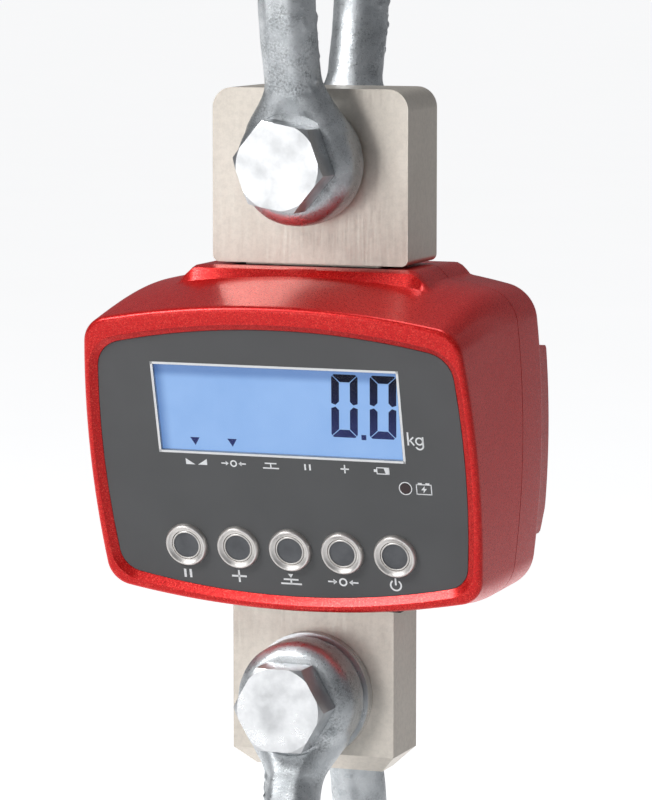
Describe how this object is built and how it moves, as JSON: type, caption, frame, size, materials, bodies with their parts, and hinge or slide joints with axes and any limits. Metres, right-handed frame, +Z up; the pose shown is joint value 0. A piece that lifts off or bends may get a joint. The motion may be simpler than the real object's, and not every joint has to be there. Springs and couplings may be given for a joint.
{
  "type": "crane scale",
  "caption": "Hanging scale: a load cell with a tilted display head in a red housing, carried between two bow shackles on bolts.",
  "frame": {"origin": "inside of the upper bow's crown, where the crane hook bears", "axes": "+Z up along the line of pull; the front with its display and buttons faces -Y; +X is on the right of someone facing the display"},
  "size_m": [0.1796, 0.1426, 0.493],
  "materials": {
    "galvanised_steel": "hot-dip galvanised forging",
    "zinc_plated_steel": "bright zinc plate",
    "cell_steel": "satin nickel plate, fine upright grain",
    "plain_steel": "satin",
    "gauge_foil": "satin",
    "black_rubber": "matte",
    "red_enamel": "gloss metallic-flake enamel on cast aluminium",
    "panel_plate": "satin",
    "grey_film": "fine satin",
    "window_glass": "clear",
    "lcd_blue": "satin",
    "light_guide": "satin",
    "black_plastic": "matte",
    "board_green": "satin",
    "ivory_plastic": "matte",
    "button_steel": "polished stainless",
    "led_lens": "gloss",
    "cell_wrap": "gloss",
    "cable_sheath": "matte"
  },
  "bodies": {
    "upper_shackle": {"upper_bow": "galvanised_steel"},
    "upper_pin": {"upper_bolt": "zinc_plated_steel", "upper_nut": "zinc_plated_steel", "upper_cotter": "zinc_plated_steel"},
    "scale": {"load_cell": "cell_steel", "gauge_covers": "plain_steel", "strain_gauges": "gauge_foil", "top_seal": "black_rubber", "bottom_seal": "black_rubber", "front_shell": "red_enamel", "rear_cover": "red_enamel", "housing_gasket": "black_rubber", "housing_screws": "plain_steel", "cell_standoffs": "plain_steel", "cell_screws": "plain_steel", "front_panel": "panel_plate", "panel_film": "grey_film", "display_window": "window_glass", "lcd_glass": "lcd_blue", "lcd_backlight": "light_guide", "lcd_carrier": "black_plastic", "main_board": "board_green", "board_posts": "plain_steel", "board_screws": "plain_steel", "board_connectors": "ivory_plastic", "button_barrels": "button_steel", "button_nuts": "plain_steel", "charge_led": "led_lens", "buzzer": "black_plastic", "battery_tray": "black_plastic", "battery_cells": "cell_wrap", "battery_door": "red_enamel", "door_seal": "black_rubber", "door_screws": "plain_steel", "charge_socket": "black_plastic", "socket_nut": "plain_steel", "cell_cable": "cable_sheath", "battery_lead": "cable_sheath"},
    "hold_key": {"hold_button": "button_steel"},
    "memory_key": {"memory_button": "button_steel"},
    "tare_key": {"tare_button": "button_steel"},
    "zero_key": {"zero_button": "button_steel"},
    "power_key": {"power_button": "button_steel"},
    "socket_plug": {"socket_cap": "black_rubber"},
    "lower_shackle": {"lower_bow": "galvanised_steel"},
    "lower_pin": {"lower_bolt": "zinc_plated_steel", "lower_nut": "zinc_plated_steel", "lower_cotter": "zinc_plated_steel", "lower_washers": "zinc_plated_steel"}
  },
  "joints": [
    {"name": "upper_pin_spin", "type": "hinge", "parent": "upper_shackle", "child": "upper_pin", "pos_m": [0, 0, -0.105], "axis": [0, 1, 0], "continuous": true},
    {"name": "cell_swing", "type": "hinge", "parent": "upper_shackle", "child": "scale", "pos_m": [0, 0, -0.105], "axis": [0, 1, 0], "range_deg": [-100, 100]},
    {"name": "shackle_swing", "type": "hinge", "parent": "scale", "child": "lower_shackle", "pos_m": [0, 0, -0.338], "axis": [0, 1, 0], "range_deg": [-100, 100]},
    {"name": "lower_pin_spin", "type": "hinge", "parent": "lower_shackle", "child": "lower_pin", "pos_m": [0, 0, -0.338], "axis": [0, 1, 0], "continuous": true},
    {"name": "hold_press", "type": "slide", "parent": "scale", "child": "hold_key", "axis": [0, 0.9681, 0.2504], "range_m": [0, 0.0015], "stiffness_N_per_m": 800, "springref_m": -0.001},
    {"name": "memory_press", "type": "slide", "parent": "scale", "child": "memory_key", "axis": [0, 0.9681, 0.2504], "range_m": [0, 0.0015], "stiffness_N_per_m": 800, "springref_m": -0.001},
    {"name": "tare_press", "type": "slide", "parent": "scale", "child": "tare_key", "axis": [0, 0.9681, 0.2504], "range_m": [0, 0.0015], "stiffness_N_per_m": 800, "springref_m": -0.001},
    {"name": "zero_press", "type": "slide", "parent": "scale", "child": "zero_key", "axis": [0, 0.9681, 0.2504], "range_m": [0, 0.0015], "stiffness_N_per_m": 800, "springref_m": -0.001},
    {"name": "power_press", "type": "slide", "parent": "scale", "child": "power_key", "axis": [0, 0.9681, 0.2504], "range_m": [0, 0.0015], "stiffness_N_per_m": 800, "springref_m": -0.001},
    {"name": "plug_pull", "type": "slide", "parent": "scale", "child": "socket_plug", "axis": [0, 1, 0], "range_m": [0, 0.012]}
  ]
}
